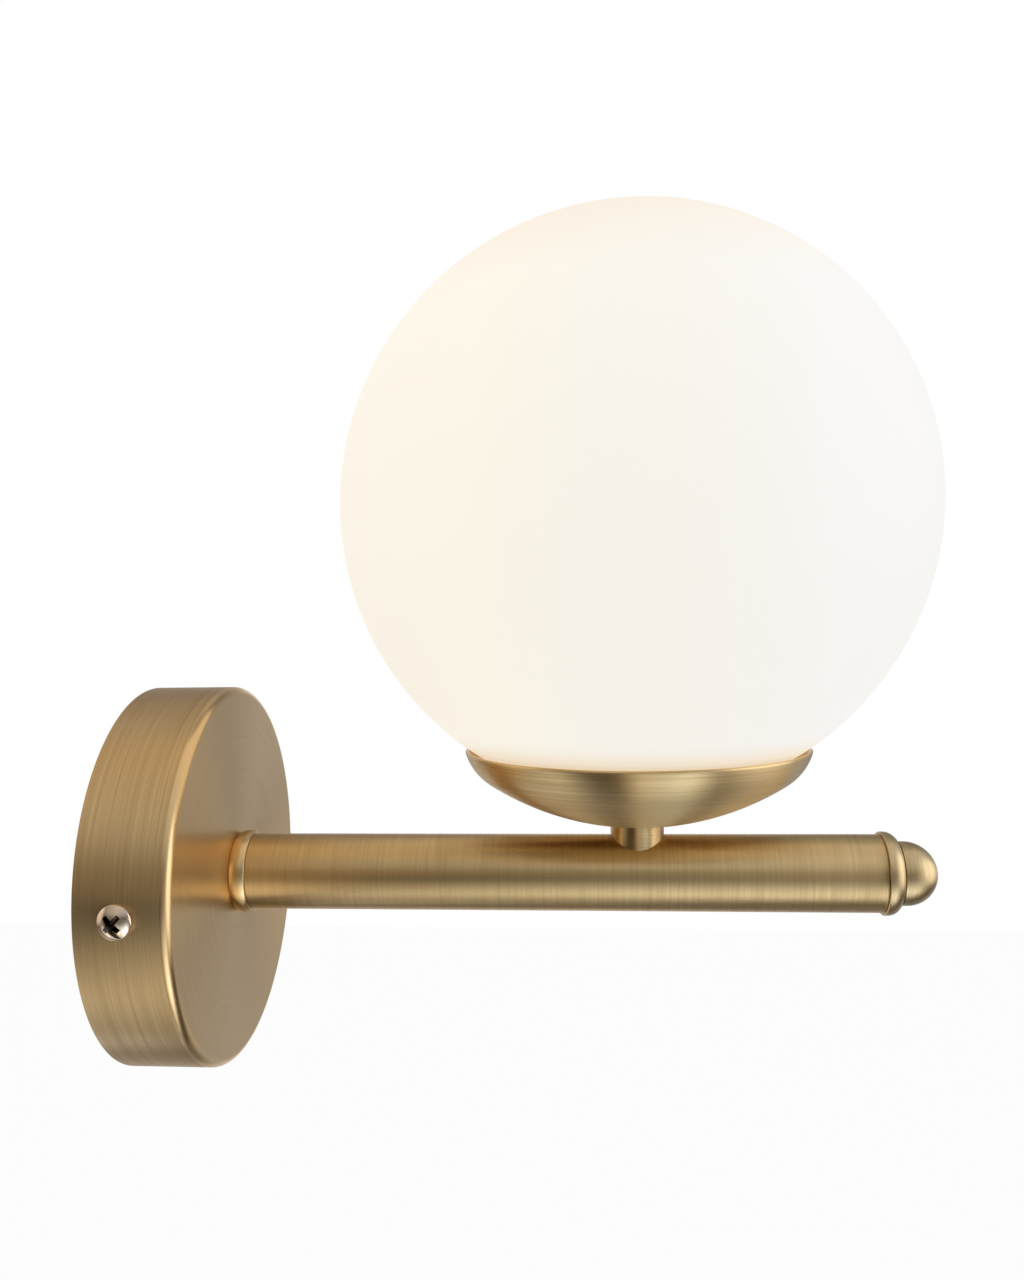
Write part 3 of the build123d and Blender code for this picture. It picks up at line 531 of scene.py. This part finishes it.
for a, b in ((lip_end, inner_top), (inner_seat, floor[0]), (floor[0], floor[1]), (floor[1], outer_seat)):
    bm.edges.new((a, b))
spin(bm, (0, head_y, 0), (0, 0, 1), 256)
cup_brass = antique_brass("antique_brass_spun_cup", "Z", line=0.0004, streak=1.2, axis_y=head_y, depth=0.16, rub=0.42,
                          tones=("#C7A772", "#E9CB95"))
cup = piece("cup_spun", bm, cup_brass)
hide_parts("cup")


# ------------------------------------------------- globe carrier and loose washer
# The carrier is turned from aluminium bar and left as it came off the lathe: the globe's neck screws onto its
# wall. A soft translucent silicone washer lies loose on its flange under the glass.

turned_alloy, tree, shader = new_finish("turned_plain_aluminium")
coords = add(tree, "ShaderNodeTexCoord")
centred = add(tree, "ShaderNodeMapping", {"Vector": coords.outputs["Object"], "Location": (0, -head_y, 0)})
# Tool marks left by the lathe. Real ones are about 0.2 mm apart, and they are drawn 0.8 mm apart to show.
marks = add(tree, "ShaderNodeTexWave", {"Vector": centred.outputs["Vector"], "Scale": wave_step / 0.000785,
                                        "Distortion": 0.6}, wave_type="RINGS", rings_direction="Z")
relief = add(tree, "ShaderNodeBump", {"Height": marks.outputs["Fac"], "Strength": 0.15, "Distance": 0.00005})
tone = add(tree, "ShaderNodeMix", {"Factor": marks.outputs["Fac"], "A": linear("#BFC1C2"), "B": linear("#D6D7D8")},
           data_type="RGBA")
shader.inputs["Metallic"].default_value = 1.0
shader.inputs["Roughness"].default_value = 0.34
tree.links.new(tone.outputs["Result"], shader.inputs["Base Color"])
tree.links.new(relief.outputs["Normal"], shader.inputs["Normal"])
dress(turned_alloy, "carrier")

soft_silicone, tree, shader = new_finish("translucent_silicone")
coords = add(tree, "ShaderNodeTexCoord")
# Milky clouding about 5 mm across.
milk = add(tree, "ShaderNodeTexNoise", {"Vector": coords.outputs["Object"], "Scale": 1 / 0.005, "Detail": 2.0})
tone = add(tree, "ShaderNodeMix", {"Factor": milk.outputs["Fac"], "A": linear("#CFCFCB"), "B": linear("#E2E2DE")},
           data_type="RGBA")
shader.inputs["Roughness"].default_value = 0.6
tree.links.new(tone.outputs["Result"], shader.inputs["Base Color"])
dress(soft_silicone, "slip_washer")


# ----------------------------------------------------------- lampholder and lamp
# A glazed ceramic two-pin lampholder in its steel strap, and a frosted capsule lamp with looped nickel pins.
# The lamp pulls straight up out of its spring contacts.

glazed_ceramic, tree, shader = new_finish("glazed_steatite")
coords = add(tree, "ShaderNodeTexCoord")
# Specks of iron in the body, about 0.5 mm, under an even glaze.
specks = add(tree, "ShaderNodeTexNoise", {"Vector": coords.outputs["Object"], "Scale": 1 / 0.0005, "Detail": 2.0})
few = add(tree, "ShaderNodeMapRange", {"Value": specks.outputs["Fac"], "From Min": 0.66, "From Max": 0.72})
tone = add(tree, "ShaderNodeMix", {"Factor": few.outputs["Result"], "A": linear("#EDE7DB"), "B": linear("#C9BBA2")},
           data_type="RGBA")
shader.inputs["Roughness"].default_value = 0.22
tree.links.new(tone.outputs["Result"], shader.inputs["Base Color"])
dress(glazed_ceramic, "lampholder", "lamp_base")
dress(nickel, "lamp_pins")

frosted_lamp, tree, shader = new_finish("acid_frosted_lamp_glass")
coords = add(tree, "ShaderNodeTexCoord")
# The acid leaves a fine tooth of about 0.2 mm.
tooth = add(tree, "ShaderNodeTexNoise", {"Vector": coords.outputs["Object"], "Scale": 1 / 0.0002, "Detail": 2.0})
relief = add(tree, "ShaderNodeBump", {"Height": tooth.outputs["Fac"], "Strength": 0.1, "Distance": 0.00003})
shader.inputs["Base Color"].default_value = linear("#F3EDE0")
shader.inputs["Roughness"].default_value = 0.55
shader.inputs["Emission Color"].default_value = linear("#FFF1DC")
shader.inputs["Emission Strength"].default_value = 0.4
tree.links.new(relief.outputs["Normal"], shader.inputs["Normal"])
dress(frosted_lamp, "lamp_bulb")


# ------------------------------------------------------------------------ globe
# A ball of mouth-blown opal glass, 3 mm thick, with a short open neck that screws onto the carrier. The outside
# is satin etched, so it shows no highlight, and the glow of the lit lamp inside is painted on it, almost even.

neck_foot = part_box("globe")[0].z
low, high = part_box("globe_crown")
globe_r = high.x
globe_z = low.z
glass = 0.003
neck_out, neck_in, neck_edge = 0.0225, 0.0195, 0.0009
outer_turn = math.degrees(math.pi - math.asin(neck_out / globe_r))
inner_r = globe_r - glass
inner_turn = math.degrees(math.pi - math.asin(neck_in / inner_r))
bm, poles = outline([(0, head_y, globe_z + globe_r)], closed=False)
shoulder = arc(bm, poles[0], (0, head_y, globe_z), (0, 1, 0), outer_turn, 96)
inside_top = bm.verts.new((0, head_y, globe_z + globe_r - glass))
inside_shoulder = arc(bm, inside_top, (0, head_y, globe_z), (0, 1, 0), inner_turn, 72)
foot = [bm.verts.new((r, head_y, neck_foot)) for r in (neck_out, neck_in)]
for a, b in ((shoulder, foot[0]), (foot[0], foot[1]), (foot[1], inside_shoulder)):
    bm.edges.new((a, b))
round_off(bm, foot, neck_edge, 4)
spin(bm, (0, head_y, 0), (0, 0, 1), 160)


def graded(tree, value, stops):
    """A colour that changes with a value: each stop is a value and a colour."""
    low, high = stops[0][0], stops[-1][0]
    along = add(tree, "ShaderNodeMapRange", {"Value": value, "From Min": low, "From Max": high})
    ramp = add(tree, "ShaderNodeValToRGB", {"Fac": along.outputs["Result"]})
    ramp.color_ramp.elements[0].color = linear(stops[0][1])
    ramp.color_ramp.elements[-1].color = linear(stops[-1][1])
    for place, code in stops[1:-1]:
        ramp.color_ramp.elements.new((place - low) / (high - low)).color = linear(code)
    return ramp.outputs["Color"]


opal, tree, shader = new_finish("satin_opal_glass")
coords = add(tree, "ShaderNodeTexCoord")
# Cloudiness of the opal layer in drifts about 40 mm across, and the etched tooth of 0.25 mm.
drift = add(tree, "ShaderNodeTexNoise", {"Vector": coords.outputs["Object"], "Scale": 1 / 0.04, "Detail": 2.0})
tooth = add(tree, "ShaderNodeTexNoise", {"Vector": coords.outputs["Object"], "Scale": 1 / 0.00025, "Detail": 2.0})
tone = add(tree, "ShaderNodeMix", {"Factor": drift.outputs["Fac"], "A": linear("#88847C"), "B": linear("#8C8880")},
           data_type="RGBA")
relief = add(tree, "ShaderNodeBump", {"Height": tooth.outputs["Fac"], "Strength": 0.05, "Distance": 0.00003})
shader.inputs["Roughness"].default_value = 0.65
shader.inputs["Specular IOR Level"].default_value = 0.3
shader.inputs["Emission Strength"].default_value = 0.83
# The glow is painted a little warmer and stronger towards the wall, standing in for light the wall throws back.
place = add(tree, "ShaderNodeSeparateXYZ", {"Vector": coords.outputs["Object"]})
light = graded(tree, place.outputs["Y"], [(head_y + share * globe_r, code) for share, code in (
    (-1.0, "#E4E3E1"), (-0.84, "#E9E8E6"), (-0.52, "#F0EEEC"), (0.0, "#F7F3EA"), (0.47, "#FCF6E9"), (0.8, "#FAF4E7"),
    (1.0, "#F8F1E4"))])
# Painted shade: the glow is dimmer at the top, furthest from the lamp inside.
top_near = add(tree, "ShaderNodeMapRange", {"Value": place.outputs["Z"], "From Min": globe_z + 0.6 * globe_r,
                                            "From Max": globe_z + globe_r})
glow_with_top_shade = add(tree, "ShaderNodeMix", {"Factor": top_near.outputs["Result"], "A": light, "B": linear("#F1E4D3")},
              data_type="RGBA")
# In the 7 mm next to the cup's rim, a beige reflection of the brass below is painted into the glow.
beige_from, beige_full = 0.0395, 0.0322
rim_reflection_reach = add(tree, "ShaderNodeMapRange", {"Value": place.outputs["Z"], "From Min": beige_from,
                                            "From Max": beige_full}, interpolation_type="SMOOTHSTEP")
glow_with_rim_reflection = add(tree, "ShaderNodeMix", {"Factor": rim_reflection_reach.outputs["Result"], "A": glow_with_top_shade.outputs["Result"],
                                     "B": linear("#EFDDC0")}, data_type="RGBA")
tree.links.new(glow_with_rim_reflection.outputs["Result"], shader.inputs["Emission Color"])
tree.links.new(tone.outputs["Result"], shader.inputs["Base Color"])
tree.links.new(relief.outputs["Normal"], shader.inputs["Normal"])
globe = piece("opal_globe", bm, opal, body="globe")
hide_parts("globe", "globe_crown")


# ------------------------------------------------------------------------ floor
# A large sheet of matt white paper lies well below the lamp. The camera sees it as plain white with a trace of
# the lamp's soft shadow.

paper, tree, shader = new_finish("matt_white_paper")
coords = add(tree, "ShaderNodeTexCoord")
# Fibre clouding of the paper, about 8.3 mm across.
fibre = add(tree, "ShaderNodeTexNoise", {"Vector": coords.outputs["Object"], "Scale": 1 / 0.00833, "Detail": 3.0})
tone = add(tree, "ShaderNodeMix", {"Factor": fibre.outputs["Fac"], "A": linear("#F0F0EE"), "B": linear("#F6F6F4")},
           data_type="RGBA")
shader.inputs["Roughness"].default_value = 0.9
tree.links.new(tone.outputs["Result"], shader.inputs["Base Color"])
# To the camera most of it is plain white, and the rest keeps the shadow.
white_share = 0.94
path = add(tree, "ShaderNodeLightPath")
seen = add(tree, "ShaderNodeMath", {0: path.outputs["Is Camera Ray"], 1: white_share}, operation="MULTIPLY")
glow = add(tree, "ShaderNodeEmission", {"Color": linear("#FFFFFF"), "Strength": 1.0})
shown = add(tree, "ShaderNodeMixShader", {"Fac": seen.outputs["Value"], 1: shader.outputs["BSDF"],
                                          2: glow.outputs["Emission"]})
tree.links.new(shown.outputs["Shader"], tree.nodes["Material Output"].inputs["Surface"])
floor_half, floor_z = 1.5, -0.45
bm = bmesh.new()
bmesh.ops.create_grid(bm, x_segments=8, y_segments=8, size=floor_half)
bmesh.ops.translate(bm, vec=(0, head_y, floor_z), verts=bm.verts[:])
mesh = bpy.data.meshes.new("paper_floor")
bm.to_mesh(mesh)
bm.free()
mesh.materials.append(paper)
paper_floor = bpy.data.objects.new("paper_floor", mesh)
paper_floor.visible_glossy = False
bpy.context.scene.collection.objects.link(paper_floor)


# ----------------------------------------------------------------------- studio
# The room that the brass mirrors: a warm ceiling, a dim wall behind the camera, a pale table top in front with
# one dark gap, a cool window on the right, a pale door on the left and a grey backdrop. The camera sees it all
# as plain white.

world = bpy.data.worlds.new("studio")
bpy.context.scene.world = world
world.use_nodes = True
tree = world.node_tree
tree.nodes.clear()
coords = add(tree, "ShaderNodeTexCoord")
# Turned so that x runs to the camera's side and y to its right.
faced = add(tree, "ShaderNodeMapping", {"Vector": coords.outputs["Generated"], "Rotation": (0, 0, math.pi)})
way = add(tree, "ShaderNodeSeparateXYZ", {"Vector": faced.outputs["Vector"]})
turn_arc = add(tree, "ShaderNodeMath", {0: way.outputs["Y"], 1: way.outputs["X"]}, operation="ARCTAN2")
turn = add(tree, "ShaderNodeMath", {0: turn_arc.outputs["Value"]}, operation="DEGREES")
rise_arc = add(tree, "ShaderNodeMath", {0: way.outputs["Z"]}, operation="ARCSINE")
rise = add(tree, "ShaderNodeMath", {0: rise_arc.outputs["Value"]}, operation="DEGREES")
# A pale table top below: a lit sheet in front to the right, a dimmer one far to the left, a dark gap between.
table_round = graded(tree, turn.outputs["Value"], (
    (-180, "#3A3734"), (-120, "#91969D"), (-90, "#3A3733"), (-65, "#ADB1B5"), (-50, "#292520"), (-40, "#130F0B"),
    (-30, "#0F0B07"), (-22, "#16110C"), (-14, "#312A23"), (-6, "#80786F"), (2, "#ADAEAF"), (14, "#999EA4"),
    (30, "#B2C0D1"), (45, "#DEECFF"), (58, "#6E6963"), (80, "#1A1511"), (120, "#14110D"), (180, "#3A3734")))
table_rise = graded(tree, rise.outputs["Value"], (
    (-90, "#F1F1F1"), (-78, "#AEAEAE"), (-66, "#D7D7D7"), (-54, "#FFFFFF"), (-42, "#E6E6E6"), (-30, "#C4C4C4"),
    (-18, "#8C8C8C"), (-6, "#5E5E5E"), (90, "#5E5E5E")))
table_tone = add(tree, "ShaderNodeMix", {"Factor": 1.0, "A": table_round, "B": table_rise}, data_type="RGBA",
                 blend_type="MULTIPLY")
table = add(tree, "ShaderNodeBackground", {"Color": table_tone.outputs["Result"], "Strength": 5.15})
# A ceiling above, warm to the left and cool to the right, that falls off to a dim wall at eye level.
ceiling_rise = graded(tree, rise.outputs["Value"], (
    (-90, "#A39B92"), (0, "#A39B92"), (8, "#7A7673"), (16, "#9C9EA1"), (27, "#C6CCD3"), (40, "#DCE1E8"),
    (60, "#ECEBEA"), (80, "#FFF6EC"), (90, "#FFF6EC")))
ceiling_side = graded(tree, turn.outputs["Value"], (
    (-180, "#D8D8D7"), (-120, "#CDC5BC"), (-60, "#CFC5BA"), (0, "#E8E6E4"), (60, "#D5DEEA"), (120, "#ECF5FF"),
    (180, "#D8D8D7")))
ceiling_tone = add(tree, "ShaderNodeMix", {"Factor": 1.0, "A": ceiling_rise, "B": ceiling_side}, data_type="RGBA",
                   blend_type="MULTIPLY")
ceiling = add(tree, "ShaderNodeBackground", {"Color": ceiling_tone.outputs["Result"], "Strength": 1.28})
above = add(tree, "ShaderNodeMapRange", {"Value": rise.outputs["Value"], "From Min": -5.7, "From Max": 5.7},
            interpolation_type="SMOOTHSTEP")
front = add(tree, "ShaderNodeMixShader", {"Fac": above.outputs["Result"], 1: table.outputs["Background"],
                                          2: ceiling.outputs["Background"]})
# A plain grey backdrop far behind the lamp, darker towards the floor.
backdrop_tone = graded(tree, rise.outputs["Value"], (
    (-90, "#8F8F8F"), (-60, "#9B9B9B"), (-35, "#FFFFFF"), (-15, "#E4E4E4"), (10, "#D7D7D7"), (30, "#B1B1B1"),
    (55, "#E4E4E4"), (75, "#B6B6B6"), (90, "#B6B6B6")))
backdrop_side = graded(tree, turn.outputs["Value"], (
    (-180, "#BDB7B0"), (-158, "#A8A5A3"), (-138, "#BAB5AF"), (-118, "#F5F9FF"), (118, "#CFD2D5"), (138, "#9D9EA0"),
    (158, "#868C92"), (180, "#BDB7B0")))
backdrop_part = add(tree, "ShaderNodeMix", {"Factor": 1.0, "A": backdrop_tone, "B": backdrop_side}, data_type="RGBA",
                    blend_type="MULTIPLY")
backdrop = add(tree, "ShaderNodeBackground", {"Color": backdrop_part.outputs["Result"], "Strength": 1.73})
far_round = add(tree, "ShaderNodeMath", {0: turn.outputs["Value"]}, operation="ABSOLUTE")
far = add(tree, "ShaderNodeMapRange", {"Value": far_round.outputs["Value"], "From Min": 112.0,
                                       "From Max": 136.0}, interpolation_type="SMOOTHSTEP")
room = add(tree, "ShaderNodeMixShader", {"Fac": far.outputs["Result"], 1: front.outputs["Shader"],
                                         2: backdrop.outputs["Background"]})
# A cool window on the right, and a paler, warmer door on the left, where the wall plate is.
window_turn, door_turn = math.radians(85), math.radians(-92)
window_way = Vector((math.cos(window_turn), math.sin(window_turn), 0.1)).normalized()
facing = add(tree, "ShaderNodeVectorMath", {0: faced.outputs["Vector"], 1: window_way}, operation="DOT_PRODUCT")
pane = add(tree, "ShaderNodeMapRange", {"Value": facing.outputs["Value"], "From Min": 0.80, "From Max": 0.94,
                                        "To Max": 2.33}, interpolation_type="SMOOTHSTEP")
window = add(tree, "ShaderNodeBackground", {"Color": linear("#F2F6FF"), "Strength": pane.outputs["Result"]})
door_way = Vector((math.cos(door_turn), math.sin(door_turn), 0.15)).normalized()
door_facing = add(tree, "ShaderNodeVectorMath", {0: faced.outputs["Vector"], 1: door_way}, operation="DOT_PRODUCT")
door_pane = add(tree, "ShaderNodeMapRange", {"Value": door_facing.outputs["Value"], "From Min": 0.85,
                                             "From Max": 0.97, "To Max": 0.9}, interpolation_type="SMOOTHSTEP")
door = add(tree, "ShaderNodeBackground", {"Color": linear("#FFF8EE"), "Strength": door_pane.outputs["Result"]})
panes = add(tree, "ShaderNodeAddShader", {0: window.outputs["Background"], 1: door.outputs["Background"]})
lit_room = add(tree, "ShaderNodeAddShader", {0: room.outputs["Shader"], 1: panes.outputs["Shader"]})
# The plain white shows to the camera, through glass, and in what mirrors straight on past the lamp.
white = add(tree, "ShaderNodeBackground", {"Color": linear("#FFFFFF"), "Strength": 1.0})
path = add(tree, "ShaderNodeLightPath")
behind = add(tree, "ShaderNodeMapRange", {"Value": way.outputs["X"], "From Min": -0.965, "From Max": -0.995},
             interpolation_type="SMOOTHSTEP")
seen = add(tree, "ShaderNodeMath", {0: path.outputs["Is Camera Ray"], 1: path.outputs["Is Transmission Ray"]},
           operation="MAXIMUM")
mirrored = add(tree, "ShaderNodeMath", {0: path.outputs["Is Glossy Ray"], 1: behind.outputs["Result"]},
               operation="MULTIPLY")
white_part = add(tree, "ShaderNodeMath", {0: seen.outputs["Value"], 1: mirrored.outputs["Value"]},
                 operation="MAXIMUM")
sky = add(tree, "ShaderNodeMixShader", {"Fac": white_part.outputs["Value"], 1: lit_room.outputs["Shader"],
                                        2: white.outputs["Background"]})
add(tree, "ShaderNodeOutputWorld", {"Surface": sky.outputs["Shader"]})


# ------------------------------------------------------------------------ lamps
# One large soft box above to the left gives the floor its soft shadow and the inside pieces their shape. It is
# left out of reflections, because the brass already mirrors the room.

soft_box = bpy.data.lights.new("soft_box", "AREA")
soft_box.shape = "RECTANGLE"
soft_box.size = 1.0
soft_box.size_y = 0.8
soft_box.energy = 2.0
soft_box.color = linear("#FFF6EA")[:3]
box_stand = bpy.data.objects.new("soft_box", soft_box)
box_stand.location = (-0.5, 0.45, 1.2)
box_stand.rotation_euler = (box_stand.location - Vector((0, head_y, 0))).to_track_quat("Z", "Y").to_euler()
box_stand.visible_camera = False
box_stand.visible_glossy = False
bpy.context.scene.collection.objects.link(box_stand)


# ----------------------------------------------------------------------- camera
# The photograph's view: level with the lower part of the globe, nearly square to the arm, about 0.3 m away. The
# place, the lens and the small turn come from lining up the outlines of the plate, arm, cup and globe.

azimuth, elevation, roll = math.radians(-85.181), math.radians(1.254), math.radians(-0.892)
target, distance = Vector((0, -0.096718, 0.062056)), 0.288586
back = Vector((math.sin(azimuth) * math.cos(elevation), -math.cos(azimuth) * math.cos(elevation),
               math.sin(elevation)))
# The picture's size, the focal length and the optical centre, in pixels.
picture_w, picture_h = 1024, 1280
focal, centre_x, centre_y = 1086.58, 506.65, 639.21
camera_data = bpy.data.cameras.new("camera")
camera_data.lens = focal / picture_h * camera_data.sensor_width
camera_data.shift_x = (picture_w / 2 - centre_x) / picture_h
camera_data.shift_y = (centre_y - picture_h / 2) / picture_h
camera_data.clip_start = 0.01
camera = bpy.data.objects.new("camera", camera_data)
camera.location = target + back * distance
camera.rotation_mode = "QUATERNION"
camera.rotation_quaternion = Matrix.Rotation(roll, 3, back).to_quaternion() @ (-back).to_track_quat("-Z", "Y")
bpy.context.scene.collection.objects.link(camera)
bpy.context.scene.camera = camera
bpy.context.scene.view_settings.view_transform = "Standard"
